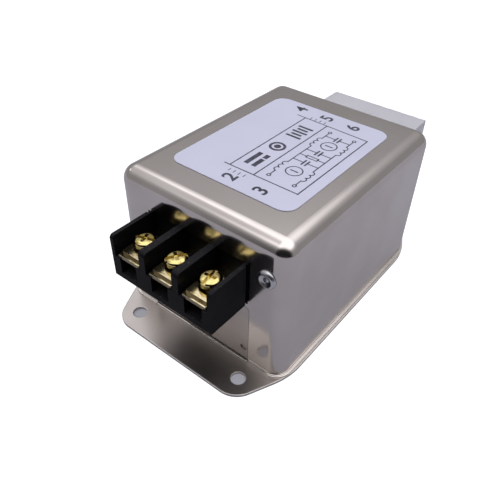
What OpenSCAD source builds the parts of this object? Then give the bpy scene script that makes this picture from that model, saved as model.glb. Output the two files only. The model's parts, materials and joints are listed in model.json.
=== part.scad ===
// Single-phase EMI line filter in a drawn metal case, for panel mounting.
// The mounting face is z = 0, the line side faces -Y and the load side +Y,
// and the origin is the middle of the four mounting holes.

/* [Case] */
// Width of the case across its terminals
case_w = 52; // [50:0.5:60]
// Length of the case between its two terminal ends
case_l = 68; // [66:0.5:90]
// Height of the case's top above the mounting face
case_h = 42; // [40:0.5:50]
// Thickness of the case's sheet, and of the two closing plates
sheet_t = 0.8; // [0.6:0.1:1]
// Outer radius of the case's corners and of its top edges
corner_r = 4; // [3:0.25:5]
// How far the case's foot turns out over the base plate
foot_w = 0.6; // [0.4:0.05:0.7]
// Thickness of the foot
foot_t = 0.6; // [0.4:0.1:1]

/* [Base plate] */
// Thickness of the base plate
plate_t = 0.8; // [0.6:0.1:1.6]
// Width of the base plate at its straight sides
plate_w = 54.1; // [54:0.1:62]
// How far a mounting flange reaches beyond the case's end
flange_reach = 11; // [10:0.5:16]
// Width over the two rounded tips of a flange
tip_span = 45.6; // [44:0.2:48]
// Radius of a flange's rounded tips
tip_r = 6.5; // [5:0.25:7.5]
// Radius that blends the straight side into the tapered flange
shoulder_r = 20; // [14:1:24]
// Distance from the case's end to where the straight side starts to curve in
shoulder_inset = 7.6; // [6:0.2:9]
// Diameter of the mounting holes
hole_d = 3.8; // [3.2:0.1:5]
// Distance between mounting holes across the part
hole_span_x = 35; // [33:0.5:37]
// Distance from the case's end to the mounting holes
hole_reach = 5.5; // [4.5:0.25:7]

/* [Closing plates] */
// Width of the case's notch that a closing plate fills
notch_w = 32.2; // [28:0.2:34]
// Radius of the notch's upper corners
notch_r = 1.2; // [0.5:0.1:2]
// Height of the strip of case left between notch and terminal block
sill_h = 1.15; // [1:0.05:2]
// How far a closing plate's foot reaches in over the base plate
closing_foot_l = 6; // [4:0.5:8]
// Outer radius of the bend between a closing plate and its foot
closing_bend_r = 1.2; // [1.1:0.1:2]
// Diameter of the half-pierced stakes in a closing plate
stake_d = 1.9; // [1:0.1:2.4]
// Height of the stakes above the base plate
stake_z = 4.6; // [3:0.2:8]
// Distance from a stake's middle to the closing plate's side
stake_inset = 1.4; // [1.3:0.1:3]

/* [Terminal blocks] */
// Distance between neighbouring poles
pole_pitch = 10.2; // [9:0.1:11]
// Height of the block's underside above the mounting face
block_z = 21.3; // [18:0.5:22]
// Height of the block
block_h = 12; // [11.5:0.25:13]
// How far the block stands out of the case
block_reach = 12.35; // [12:0.25:15]
// Thickness of the walls between poles
divider_t = 1.9; // [1.2:0.1:2.4]
// Thickness of the block's two outer walls
end_wall_t = 1.1; // [0.8:0.1:1.5]
// Radius on the front top corners of all the walls
wall_nose_r = 1; // [0.4:0.1:2]
// Thickness of the floor under the recesses
floor_t = 1.7; // [1:0.1:2.2]
// Width of the recess under each terminal plate
recess_w = 5.3; // [4.2:0.1:6]
// Height of the shoulders that carry the terminal plates, above the underside
shoulder_h = 6; // [5.5:0.1:7]
// Thickness of the ears behind the case's wall
ear_t = 2.2; // [1.6:0.1:3]
// Depth of the boss behind the ears that grips the terminal plates
boss_l = 3; // [2:0.25:5]
// Width of the snap groove at the block's root
groove_w = 0.6; // [0.5:0.05:0.8]
// Depth of the snap groove
groove_depth = 0.4; // [0.3:0.05:0.5]

/* [Terminals] */
// Width of a terminal plate
terminal_w = 6.8; // [6:0.1:7.6]
// Thickness of a terminal plate
terminal_t = 1; // [0.6:0.1:1.2]
// How far a terminal plate's front edge sits behind the block's front
terminal_setback = 0.3; // [0.1:0.1:0.8]
// Width of a terminal plate's tail inside the case
tail_w = 3.6; // [3:0.1:4.5]
// Length of the tail behind the block's boss
tail_l = 3.6; // [3:0.1:5]
// Width of a clamp washer
washer_w = 6.2; // [5.5:0.1:6.6]
// Length of a clamp washer, front to back
washer_l = 9.4; // [8:0.1:9.6]
// Thickness of a clamp washer
washer_t = 0.8; // [0.5:0.1:1]
// Thread diameter of a terminal screw
screw_d = 3; // [2.5:0.1:3.5]
// Diameter of a terminal screw's head
screw_head_d = 5.5; // [5:0.1:6]
// Height of a terminal screw's head
screw_head_h = 1.75; // [1.2:0.05:2]
// Length of a terminal screw under its head
screw_l = 6; // [5:0.25:6.5]
// How far a terminal screw is backed out above its washer
screw_lift = 1.35; // [0:0.05:1.5]
// Distance from the case's end to the middle of the screws
screw_reach = 6.5; // [6:0.1:7]

/* [Rivets] */
// Distance between the two rivets of a block
rivet_span = 41.2; // [40:0.2:42]
// Height of a block's upper rivet above its underside, the lower one mirrors it
rivet_h = 10.7; // [8:0.1:11]
// Diameter of a rivet's shank
rivet_d = 3.2; // [2.4:0.1:3.4]
// Diameter of a rivet's head
rivet_head_d = 4.8; // [4.4:0.1:5.4]
// Height of a rivet's head
rivet_head_h = 1; // [0.6:0.1:1.2]
// Diameter of the hole left by a rivet's mandrel
mandrel_d = 1.6; // [1:0.1:1.8]

/* [Rear cover] */
// Thickness of the cover's walls
cover_t = 0.75; // [0.6:0.05:1]
// How far the cover reaches beyond the case's end
cover_reach = 20.2; // [19:0.2:24]
// Gap between cover and block, and between cover and case
cover_gap = 0.15; // [0.1:0.05:0.3]
// Height of the snap beads inside the cover's side walls
snap_h = 7; // [5:0.5:10]

/* [Label] */
// Width of the label
label_w = 36.4; // [30:0.2:40]
// Length of the label
label_l = 47.4; // [40:0.2:54]
// Thickness of the label
label_t = 0.15; // [0.1:0.05:0.3]
// Radius of the label's corners
label_r = 3.5; // [1:0.25:5]

/* [Inside] */
// Height of the spacers under the circuit board
spacer_h = 4; // [3:0.25:6]
// Diameter of the spacers
spacer_d = 6; // [5:0.25:7]
// Thickness of the circuit board
board_t = 1.6; // [1:0.1:2]
// Gap between the circuit board and the case's walls
board_gap = 1.2; // [1:0.1:2]
// Thickness of the insulating liner
liner_t = 0.4; // [0.2:0.05:0.6]
// Outer diameter of a choke's core
core_d = 21; // [18:0.5:22]
// Inner diameter of a choke's core
core_bore = 11; // [10:0.5:12]
// Thickness of a choke's core
core_t = 9; // [7:0.25:9.5]
// Diameter of the winding wire
wire_d = 0.8; // [0.6:0.05:0.9]
// Angle that one winding covers on its core
winding_angle = 132; // [100:2:140]
// Thickness of an X capacitor
x_cap_t = 6; // [4:0.25:6.5]
// Width of an X capacitor
x_cap_w = 18; // [14:0.5:20]
// Height of an X capacitor
x_cap_h = 12; // [9:0.5:15]
// Diameter of a Y capacitor
y_cap_d = 9; // [7:0.25:9.5]
// Thickness of a Y capacitor
y_cap_t = 4; // [3:0.25:5]
// Diameter of the link wires between terminal plates and board
link_d = 1.2; // [0.8:0.1:1.4]

/* [Hidden] */
$fn = 64;
eps = 0.01;
// How far a cut runs on past the faces that it opens
past = 1;
// Hair's breadth that keeps an arc inside the straight edges it blends
seam = 0.005;
// Gap between parts that pass through or beside each other
fit_gap = 0.05;
// Gap round a closing plate
joint_gap = 0.1;
// Gap between the block and the edges of its window
window_gap = 0.15;
// Running clearance inside the case
air_gap = 0.3;
// Number of poles: two line conductors with the earth between them
poles = 3;

bay_w = pole_pitch - divider_t;
block_w = (poles - 1) * pole_pitch + bay_w + 2 * end_wall_t;
block_top = block_z + block_h;
shoulder_z = block_z + shoulder_h;
terminal_top = shoulder_z + terminal_t;
washer_top = terminal_top + washer_t;
screw_seat = washer_top + screw_lift;
pole_x = [for (i = [0 : poles - 1]) (i - (poles - 1) / 2) * pole_pitch];

end_y = case_l / 2;
inner_y = end_y - sheet_t;
inner_x = case_w / 2 - sheet_t;
block_front = end_y + block_reach;
ear_back = inner_y - ear_t;
boss_back = ear_back - boss_l;
// Moulding above and below a terminal plate where it passes through the boss
boss_wall = 3;
tail_end = boss_back - tail_l;
link_y = tail_end + link_d / 2 + 1.1;
screw_y = end_y + screw_reach;
rivet_x = rivet_span / 2;
rivet_z = block_z + rivet_h;
low_rivet_z = block_z + block_h - rivet_h;
// Moulding round a rivet's hole, beside it and above or below it
ear_edge = 2.2;
ear_reach = 3.2;
ear_half_w = rivet_x + ear_edge;
ear_edge_r = 1;
ear_rise = 0.3;
window_bottom = block_z - window_gap;
notch_top = window_bottom - sill_h;
closing_w = notch_w - 2 * joint_gap;
snap_z = block_z + (block_h - snap_h) / 2;

flange_y = end_y + flange_reach;
hole_x = hole_span_x / 2;
hole_y = end_y + hole_reach;

spacer_inset = 4;
spacer_top = plate_t + spacer_h;
board_top = spacer_top + board_t;
board_w = 2 * (inner_x - board_gap);
board_l = 2 * (inner_y - board_gap);
board_corner_r = corner_r - sheet_t;
spacer_x = board_w / 2 - spacer_inset;
spacer_y = board_l / 2 - spacer_inset;
choke_gap = 0.2;
choke_z = board_top + core_d / 2 + choke_gap;
// Room between a film capacitor and the winding beside it
part_gap = 1.6;
choke_y = x_cap_t / 2 + part_gap + wire_d + core_t / 2;
end_cap_y = choke_y + core_t / 2 + wire_d + part_gap + x_cap_t / 2;
// From the board's side to the middle of the small capacitors and the resistor
side_part_inset = 7.5;
side_part_x = board_w / 2 - side_part_inset;
winding_turns = 12;
// Leads: how far they stand out under the board and rise into their part
lead_d = 0.8;
lead_below = 1;
lead_rise = 2;
// Turn of each screw's slot, in steps, as the screws were left when tightened
slot_turn_front = 25;
slot_turn_rear = 70;

// ---------------------------------------------------------------- helpers

// Everything drawn for the line end is turned half round for the load end
module at_end(load) {
  rotate([0, 0, load ? 180 : 0]) children();
}

module both_ends() {
  at_end(false) children();
  at_end(true) children();
}

module both_sides(x) {
  for (side = [-1, 1]) translate([side * x, 0, 0]) children();
}

// One rivet high on the right and one low on the left of each block
module at_rivets() {
  translate([rivet_x, 0, rivet_z]) children();
  translate([-rivet_x, 0, low_rivet_z]) children();
}

// Extrudes a (y, z) profile along X, centred on the part's middle plane
module along_x(w) {
  rotate([90, 0, 90]) linear_extrude(w, center = true) children();
}

// Extrudes an (x, z) profile along Y between two places
module along_y(from, to) {
  translate([0, to, 0]) rotate([90, 0, 0]) linear_extrude(to - from) children();
}

module rounded_rect(w, l, r) {
  square([w, l - 2 * r], center = true);
  square([w - 2 * r, l], center = true);
  for (x = [-1, 1], y = [-1, 1])
    translate([x * (w / 2 - r), y * (l / 2 - r)]) circle(r);
}

// Drawn form with rounded corners and top edges, standing on z = 0
module drawn_form(w, l, h, r) {
  linear_extrude(h - r) rounded_rect(w, l, r);
  translate([-w / 2 + r, -l / 2 + r, 0]) cube([w - 2 * r, l - 2 * r, h]);
  for (x = [-1, 1])
    translate([x * (w / 2 - r), 0, h - r])
      rotate([90, 0, 0]) cylinder(r = r, h = l - 2 * r, center = true);
  for (y = [-1, 1])
    translate([0, y * (l / 2 - r), h - r])
      rotate([0, 90, 0]) cylinder(r = r, h = w - 2 * r, center = true);
  for (x = [-1, 1], y = [-1, 1])
    translate([x * (w / 2 - r), y * (l / 2 - r), h - r]) sphere(r);
}

// ------------------------------------------------------------------- case

// Front view of the notch, open at the bottom, grown or shrunk by gap
module notch_outline(w, top) {
  translate([-w / 2, 0]) square([w, top - notch_r]);
  translate([-w / 2 + notch_r, 0]) square([w - 2 * notch_r, top]);
  for (x = [-1, 1])
    translate([x * (w / 2 - notch_r), top - notch_r]) circle(notch_r);
}

module case() {
  window_w = block_w + 2 * window_gap;
  color("gainsboro") difference() {
    union() {
      translate([0, 0, plate_t]) drawn_form(case_w, case_l, case_h - plate_t, corner_r);
      translate([0, 0, plate_t]) linear_extrude(foot_t)
        rounded_rect(case_w + 2 * foot_w, case_l + 2 * foot_w, corner_r + foot_w);
    }
    translate([0, 0, plate_t - eps])
      drawn_form(case_w - 2 * sheet_t, case_l - 2 * sheet_t, case_h - plate_t - sheet_t + eps,
        corner_r - sheet_t);
    both_ends() {
      translate([-window_w / 2, -end_y - past, window_bottom])
        cube([window_w, sheet_t + 2 * past, block_h + 2 * window_gap]);
      along_y(-end_y - foot_w - past, -inner_y + past) notch_outline(notch_w, notch_top);
      at_rivets() translate([0, -inner_y + past, 0]) rotate([90, 0, 0])
        cylinder(d = rivet_d + 2 * fit_gap, h = sheet_t + 2 * past);
    }
  }
}

// ------------------------------------------------------------- base plate

// Centres and tangent points of one quarter of the outline: the straight side
// runs into a large shoulder arc, a tangent line and the rounded tip
shoulder = [plate_w / 2 - shoulder_r, end_y - shoulder_inset];
tip = [tip_span / 2 - tip_r, flange_y - tip_r];
run = tip - shoulder;
taper_angle = atan2(run.y, run.x) - acos((shoulder_r - tip_r) / norm(run));
taper = [cos(taper_angle), sin(taper_angle)];
leave = shoulder + shoulder_r * taper;
arrive = tip + tip_r * taper;

function turned(points) = [for (p = points) -p];
function mirrored(points) = [for (i = [len(points) - 1 : -1 : 0]) [-points[i].x, points[i].y]];

module plate_outline() {
  quarter = [[plate_w / 2, shoulder.y], leave, arrive, [tip.x, flange_y]];
  half = concat(quarter, mirrored(quarter));
  polygon(concat(half, turned(half)));
  for (x = [0, 1], y = [0, 1]) mirror([x, 0]) mirror([0, y]) {
    translate(tip) circle(tip_r - seam);
    intersection() {
      translate(shoulder) circle(shoulder_r - seam, $fn = 128);
      translate([shoulder.x, shoulder.y - past])
        square([shoulder_r + past, leave.y - shoulder.y + 2 * past]);
    }
  }
}

module base_plate() {
  color("silver") difference() {
    linear_extrude(plate_t) plate_outline();
    for (x = [-1, 1], y = [-1, 1])
      translate([x * hole_x, y * hole_y, -past]) cylinder(d = hole_d, h = plate_t + 2 * past);
  }
}

// --------------------------------------------------------- closing plates

// Side view of the folded plate: an upright in line with the case's wall and
// a foot turned in over the base plate
module closing_profile() {
  top = notch_top - joint_gap;
  inner_bend_r = closing_bend_r - sheet_t;
  difference() {
    union() {
      translate([-end_y, plate_t + closing_bend_r]) square([sheet_t, top - plate_t - closing_bend_r]);
      translate([-end_y + closing_bend_r, plate_t]) square([closing_foot_l - closing_bend_r, sheet_t]);
      translate([-end_y + closing_bend_r, plate_t + closing_bend_r]) intersection() {
        circle(closing_bend_r);
        translate([-closing_bend_r, -closing_bend_r]) square(closing_bend_r);
      }
    }
    translate([-end_y + closing_bend_r, plate_t + closing_bend_r]) circle(inner_bend_r);
  }
}

module closing_plate() {
  stake_x = closing_w / 2 - stake_inset;
  color("lightsteelblue") difference() {
    intersection() {
      along_x(closing_w) closing_profile();
      along_y(-end_y - past, -end_y + closing_foot_l + past)
        notch_outline(closing_w, notch_top - joint_gap);
    }
    both_sides(stake_x) translate([0, -end_y + sheet_t / 2, plate_t + stake_z])
      rotate([90, 0, 0]) cylinder(d = stake_d, h = sheet_t);
  }
}

// -------------------------------------------------------- terminal blocks

// Side view of the block from its front to the ears' back face
module block_profile() {
  length = block_front - ear_back;
  translate([-block_front, block_z]) {
    square([length, block_h - wall_nose_r]);
    translate([wall_nose_r, 0]) square([length - wall_nose_r, block_h]);
    translate([wall_nose_r, block_h - wall_nose_r]) circle(wall_nose_r);
  }
}

// Outline of the ears seen from above, with the outer upright edges eased to
// clear the case's inner corners
module ear_outline() {
  straight_w = 2 * (ear_half_w - ear_edge_r);
  translate([-straight_w / 2, 0]) square([straight_w, ear_t]);
  translate([-ear_half_w, ear_edge_r]) square([2 * ear_half_w, ear_t - ear_edge_r]);
  both_sides(straight_w / 2) translate([0, ear_edge_r]) circle(ear_edge_r);
}

// The ears close the window from inside and back the bays; the left one runs
// further down, beside the closing plate, to its low rivet
module ears() {
  ear_z = notch_top + ear_rise;
  ear_top = rivet_z + ear_reach;
  lug_z = low_rivet_z - ear_reach;
  translate([0, -inner_y, ear_z]) linear_extrude(ear_top - ear_z) ear_outline();
  translate([0, -inner_y, lug_z]) linear_extrude(rivet_z - lug_z) intersection() {
    ear_outline();
    translate([-ear_half_w - past, -past])
      square([ear_half_w + past - notch_w / 2 - ear_rise, ear_t + 2 * past]);
  }
}

module terminal_block() {
  bay_l = block_front - inner_y;
  boss_h = terminal_t + 2 * boss_wall;
  slot_w = terminal_w + 2 * fit_gap;
  color("#1c1d20") difference() {
    union() {
      along_x(block_w) block_profile();
      ears();
      translate([-block_w / 2, -ear_back - eps, shoulder_z - boss_wall]) cube([block_w, boss_l + eps, boss_h]);
    }
    for (x = pole_x) translate([x, 0, 0]) {
      translate([-bay_w / 2, -block_front - past, shoulder_z]) cube([bay_w, bay_l + past, block_h]);
      translate([-recess_w / 2, -block_front - past, block_z + floor_t])
        cube([recess_w, bay_l + past, shoulder_h]);
      translate([-slot_w / 2, -block_front + bay_l - past, shoulder_z])
        cube([slot_w, block_reach + case_l, terminal_t + fit_gap]);
    }
    at_rivets() translate([0, -ear_back + past, 0]) rotate([90, 0, 0])
      cylinder(d = rivet_d + 2 * fit_gap, h = ear_t + 2 * past);
    for (side = [-1, 1])
      translate([side * block_w / 2, -end_y - groove_w / 2 - window_gap, block_z + block_h / 2])
        cube([2 * groove_depth, groove_w, block_h + 1], center = true);
  }
}

// -------------------------------------------------------------- terminals

// Plate of one pole: it lies on the block's shoulders, takes the screw's thread
// and ends in a narrow tail inside the case
module terminal_plate(i) {
  front = block_front - terminal_setback;
  color("goldenrod") translate([pole_x[i], 0, shoulder_z]) difference() {
    linear_extrude(terminal_t) {
      translate([-terminal_w / 2, -front]) square([terminal_w, front - boss_back]);
      translate([-tail_w / 2, -boss_back - eps]) square([tail_w, tail_l + eps]);
    }
    translate([0, -screw_y, -past]) cylinder(d = screw_d + 2 * fit_gap, h = terminal_t + 2 * past);
    translate([0, -link_y, -past]) cylinder(d = link_d + 2 * fit_gap, h = terminal_t + 2 * past);
  }
}

module clamp_washer() {
  difference() {
    translate([-washer_w / 2, -washer_l / 2, 0]) cube([washer_w, washer_l, washer_t]);
    translate([0, 0, -past]) cylinder(d = screw_d + 4 * fit_gap, h = washer_t + 2 * past);
  }
}

module clamp_washers() {
  color("gold") for (x = pole_x) translate([x, -screw_y, terminal_top]) clamp_washer();
}

// Pan-head screw with a slot crossed by a shorter bar
module terminal_screw() {
  rim_h = 0.65;
  crown_h = screw_head_h - rim_h;
  crown_r = (pow(screw_head_d / 2, 2) + pow(crown_h, 2)) / (2 * crown_h);
  slot_w = 0.85;
  slot_depth = 0.8;
  cross_l = 3.2;
  difference() {
    union() {
      intersection() {
        cylinder(d = screw_head_d, h = screw_head_h);
        translate([0, 0, screw_head_h - crown_r]) sphere(crown_r, $fn = 128);
      }
      translate([0, 0, -screw_l]) cylinder(d = screw_d, h = screw_l + eps);
    }
    translate([0, 0, screw_head_h]) {
      cube([screw_head_d + 1, slot_w, 2 * slot_depth], center = true);
      cube([slot_w, cross_l, 2.6 * slot_depth], center = true);
    }
  }
}

module terminal_screws(turn) {
  color("gold") for (i = [0 : poles - 1])
    translate([pole_x[i], -screw_y, screw_seat]) rotate([0, 0, turn + 50 * i]) terminal_screw();
}

// ----------------------------------------------------------------- rivets

// Blind rivet along Z: its domed head stands up, its set end hangs below
module blind_rivet() {
  grip = sheet_t + ear_t;
  set_d = rivet_d * 1.4;
  set_l = 1.8;
  tip_l = 1.2;
  edge_h = 0.35;
  crown_h = rivet_head_h - edge_h;
  crown_r = (pow(rivet_head_d / 2, 2) + pow(crown_h, 2)) / (2 * crown_h);
  difference() {
    union() {
      intersection() {
        cylinder(d = rivet_head_d, h = rivet_head_h);
        translate([0, 0, rivet_head_h - crown_r]) sphere(crown_r, $fn = 128);
      }
      translate([0, 0, -grip - set_l - tip_l]) cylinder(d = rivet_d, h = grip + set_l + tip_l + eps);
      translate([0, 0, -grip - set_l]) cylinder(d = set_d, h = set_l);
    }
    translate([0, 0, -0.6]) cylinder(d = mandrel_d, h = rivet_head_h + 1);
  }
}

module blind_rivets() {
  color("lightgray") both_ends() at_rivets() translate([0, -end_y, 0]) rotate([90, 0, 0]) blind_rivet();
}

// ------------------------------------------------------------- rear cover

// Clear cover over the load terminals, open towards the case and underneath
module rear_terminal_cover() {
  inner_w = block_w + 2 * cover_gap;
  outer_w = inner_w + 2 * cover_t;
  inner_top = block_top + cover_gap;
  outer_top = inner_top + cover_t;
  height = outer_top - block_z;
  from_y = end_y + cover_gap;
  outer_y = end_y + cover_reach;
  bead_l = groove_w - 0.2;
  bead_w = groove_depth + cover_gap - fit_gap;
  color("white", 0.6) {
    difference() {
      translate([-outer_w / 2, from_y, block_z]) cube([outer_w, outer_y - from_y, height]);
      translate([-inner_w / 2, from_y - 1, block_z - 1])
        cube([inner_w, outer_y - cover_t - from_y + 1, inner_top - block_z + 1]);
    }
    for (side = [-1, 1])
      translate([side * (inner_w - bead_w + eps) / 2, end_y + window_gap + groove_w / 2, snap_z + snap_h / 2])
        cube([bead_w + eps, bead_l, snap_h], center = true);
  }
}

// ------------------------------------------------------------------ label

module label() {
  color("lavender") translate([0, 0, case_h]) linear_extrude(label_t)
    rounded_rect(label_w, label_l, label_r);
}

// ----------------------------------------------------------------- inside

// Film folded round the sides and top of the inner parts
module insulating_liner() {
  outer_w = 2 * (inner_x - fit_gap);
  outer_top = case_h - sheet_t - fit_gap;
  bottom = board_top + 1;
  fold_r = corner_r - sheet_t;
  length = 2 * (boss_back - 1);
  color("ivory") along_y(-length / 2, length / 2) difference() {
    liner_outline(outer_w, bottom, outer_top, fold_r);
    liner_outline(outer_w - 2 * liner_t, bottom - 1, outer_top - liner_t, fold_r - liner_t);
  }
}

module liner_outline(w, bottom, top, r) {
  translate([-w / 2, bottom]) square([w, top - r - bottom]);
  translate([-w / 2 + r, bottom]) square([w - 2 * r, top - bottom]);
  for (x = [-1, 1]) translate([x * (w / 2 - r), top - r]) circle(r);
}

module circuit_board() {
  color("darkgreen") difference() {
    translate([0, 0, spacer_top]) linear_extrude(board_t) difference() {
      rounded_rect(board_w, board_l, board_corner_r);
      board_holes();
    }
  }
}

module board_holes() {
  for (x = [-1, 1], y = [-1, 1]) translate([x * spacer_x, y * spacer_y]) circle(d = spacer_d / 2 + 2 * fit_gap);
  for (y = [-1, 1]) {
    for (x = pole_x) translate([x, y * link_y]) circle(d = link_d + 2 * fit_gap);
    for (x = [-1, 1]) translate([x * choke_lead_x, y * choke_y]) choke_lead_places() circle(d = lead_d + 2 * fit_gap);
  }
  for (y = [-end_cap_y, 0, end_cap_y], x = [-1, 1])
    translate([x * x_cap_lead_x, y]) circle(d = lead_d + 2 * fit_gap);
  for (side = [-1, 1], x = [-1, 1])
    translate([side * side_part_x + x * y_cap_lead_x, end_cap_y]) circle(d = lead_d + 2 * fit_gap);
  for (x = [-1, 1])
    translate([side_part_x + x * y_cap_lead_x, -end_cap_y]) circle(d = lead_d + 2 * fit_gap);
  translate([-side_part_x, -end_cap_y]) square([strap_w + 2 * fit_gap, strap_t + 2 * fit_gap], center = true);
}

choke_lead_x = 5.6;
// How far a capacitor's leads stand in from its sides
x_cap_lead_inset = 1.5;
y_cap_lead_inset = 2;
x_cap_lead_x = x_cap_w / 2 - x_cap_lead_inset;
y_cap_lead_x = y_cap_d / 2 - y_cap_lead_inset;
strap_w = 5;
strap_t = 0.6;
// How far the strap stands out over the board
strap_rise = 1.5;

module choke_lead_places() {
  for (y = [-1, 1]) translate([0, y * (core_t - 2 * lead_d) / 2]) children();
}

// Moulded spacers with a peg that passes through the board
module board_spacers() {
  color("white") for (x = [-1, 1], y = [-1, 1]) translate([x * spacer_x, y * spacer_y, plate_t]) {
    cylinder(d = spacer_d, h = spacer_h);
    cylinder(d = spacer_d / 2, h = spacer_h + board_t + 1);
  }
}

// Strap from the board's earth track to the base plate
module earth_strap() {
  strap_top = board_top + strap_rise;
  strap_foot_l = 5;
  color("orange") translate([-side_part_x, -end_cap_y, plate_t]) {
    translate([-strap_w / 2, -strap_t / 2, 0]) cube([strap_w, strap_t, strap_top - plate_t]);
    translate([-strap_w / 2, -strap_t / 2, 0]) cube([strap_w, strap_foot_l, strap_t]);
  }
}

// Ring core that stands on edge over the board
module choke_core(y) {
  color("dimgray") translate([0, y, choke_z]) rotate([90, 0, 0]) difference() {
    cylinder(d = core_d, h = core_t, center = true);
    cylinder(d = core_bore, h = core_t + 2 * past, center = true);
  }
}

// Ring round the core's section, between two distances from the core
module section_ring(near, far) {
  section = [(core_d - core_bore) / 2, core_t];
  translate([(core_d + core_bore) / 4, 0]) difference() {
    rounded_rect(section.x + 2 * far, section.y + 2 * far, wire_d);
    square([section.x + 2 * near, section.y + 2 * near], center = true);
  }
}

// Winding on one side of a core: spaced turns on a closed inner layer, with
// two leads down through the board
module choke_winding(y, side) {
  layer_t = wire_d / 2;
  first = -winding_angle / 2;
  step = winding_angle / (winding_turns - 1);
  margin = step / 2;
  lead_top = -sqrt(pow(core_d / 2 + layer_t / 2 + fit_gap, 2) - pow(choke_lead_x, 2));
  lead_bottom = spacer_top - lead_below - choke_z;
  color("darkorange") translate([0, y, choke_z]) rotate([0, 0, side < 0 ? 180 : 0]) {
    rotate([90, 0, 0]) {
      rotate([0, 0, first - margin]) rotate_extrude(angle = winding_angle + 2 * margin)
        section_ring(fit_gap, layer_t);
      for (k = [0 : winding_turns - 1])
        rotate([90, 0, first + k * step]) linear_extrude(wire_d, center = true)
          section_ring(layer_t / 2, wire_d);
    }
    choke_lead_places() translate([choke_lead_x, 0, lead_bottom])
      cylinder(d = lead_d, h = lead_top - lead_bottom);
  }
}

module x_capacitor(y) {
  color("gold") translate([0, y, board_top]) {
    translate([-x_cap_w / 2, -x_cap_t / 2, 0]) cube([x_cap_w, x_cap_t, x_cap_h]);
    both_sides(x_cap_lead_x) lead(eps);
  }
}

// Round lead from below the board up to a height above it
module lead(rise) {
  translate([0, 0, -board_t - lead_below]) cylinder(d = lead_d, h = board_t + lead_below + rise);
}

module y_capacitor(side) {
  color("royalblue") translate([side * side_part_x, end_cap_y, board_top]) {
    translate([0, y_cap_t / 2, y_cap_d / 2 + air_gap]) rotate([90, 0, 0]) cylinder(d = y_cap_d, h = y_cap_t);
    both_sides(y_cap_lead_x) lead(lead_rise);
  }
}

module bleed_resistor() {
  body_d = 2.6;
  body_l = 3.2;
  color("tan") translate([side_part_x, -end_cap_y, board_top]) {
    translate([0, 0, air_gap + body_d / 2]) rotate([0, 90, 0])
      cylinder(d = body_d, h = 2 * y_cap_lead_x + body_l, center = true);
    both_sides(y_cap_lead_x) lead(lead_rise);
  }
}

// Stiff wire from a terminal plate's tail down through the board
module link_wire(i) {
  low = spacer_top - lead_below;
  high = terminal_top + 1;
  color("silver") translate([pole_x[i], -link_y, low]) cylinder(d = link_d, h = high - low);
}

// ------------------------------------------------------------------ nodes

case();
base_plate();
closing_plate();  // front_closing_plate
at_end(true) closing_plate();  // rear_closing_plate
terminal_block();  // front_terminal_block
at_end(true) terminal_block();  // rear_terminal_block
for (i = [0 : poles - 1]) {
  terminal_plate(i);
  at_end(true) terminal_plate(i);
  link_wire(i);
  at_end(true) link_wire(i);
}
clamp_washers();  // front_clamp_washers
at_end(true) clamp_washers();  // rear_clamp_washers
terminal_screws(slot_turn_front);  // front_terminal_screws
at_end(true) terminal_screws(slot_turn_rear);  // rear_terminal_screws
blind_rivets();
rear_terminal_cover();
label();
insulating_liner();
circuit_board();
board_spacers();
earth_strap();
for (c = [0, 1]) {
  choke_core((2 * c - 1) * choke_y);
  for (w = [0, 1])
    choke_winding((2 * c - 1) * choke_y, 2 * w - 1);
}
for (k = [0, 1, 2])
  x_capacitor((k - 1) * end_cap_y);
for (k = [0, 1])
  y_capacitor(2 * k - 1);
bleed_resistor();
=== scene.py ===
import json
import math

import bmesh
import bpy
from bpy.props import FloatProperty, FloatVectorProperty, PointerProperty
from mathutils import Matrix, Vector


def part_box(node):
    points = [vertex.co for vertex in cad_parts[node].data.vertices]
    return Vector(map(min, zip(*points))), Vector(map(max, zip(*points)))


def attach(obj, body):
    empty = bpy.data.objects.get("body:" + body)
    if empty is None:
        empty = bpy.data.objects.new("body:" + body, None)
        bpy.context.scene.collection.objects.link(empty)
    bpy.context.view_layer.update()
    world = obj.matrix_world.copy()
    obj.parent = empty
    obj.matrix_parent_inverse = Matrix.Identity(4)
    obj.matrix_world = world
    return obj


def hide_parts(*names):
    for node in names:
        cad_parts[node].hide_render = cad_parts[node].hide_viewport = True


bl_info = {
    "name": "Line filter",
    "version": (1, 0, 0),
    "blender": (4, 5, 0),
    "location": "3D View > Sidebar > Line filter",
    "description": "Dresses the packed line filter with its fasteners, print, finishes and stage",
    "category": "Object",
}

MM = 0.001
SAME_POINT = 1e-7  # points nearer than this are one
SHARP_ANGLE = math.radians(32)  # edges sharper than this are eased
RUBBED_AND_HIGHLIT_HEIGHT = 1.2 * MM  # over the base plate; up to there the sheet's edges are rubbed and lightened as a painted highlight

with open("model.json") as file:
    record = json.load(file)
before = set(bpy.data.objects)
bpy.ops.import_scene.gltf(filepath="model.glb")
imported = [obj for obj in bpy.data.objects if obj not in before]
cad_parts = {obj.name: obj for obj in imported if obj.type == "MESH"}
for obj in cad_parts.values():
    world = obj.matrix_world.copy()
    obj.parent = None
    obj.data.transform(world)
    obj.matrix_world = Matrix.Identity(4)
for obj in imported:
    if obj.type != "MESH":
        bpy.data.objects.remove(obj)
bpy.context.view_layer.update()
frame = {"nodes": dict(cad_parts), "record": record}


def colour(name, description, default):
    return FloatVectorProperty(
        name=name, description=description, subtype="COLOR", min=0.0, max=1.0, default=default
    )


def length(name, description, default):
    return FloatProperty(
        name=name, description=description, unit="LENGTH", min=0.0, precision=5, default=default
    )


def share(name, description, default):
    return FloatProperty(
        name=name, description=description, subtype="FACTOR", min=0.0, max=1.0, default=default
    )


def turning(name, description, degrees):
    return FloatProperty(
        name=name, description=description, subtype="ANGLE", default=math.radians(degrees)
    )


def number(name, description, default):
    return FloatProperty(name=name, description=description, min=0.0, default=default)


# ------------------------------------------------------------ settings


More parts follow.
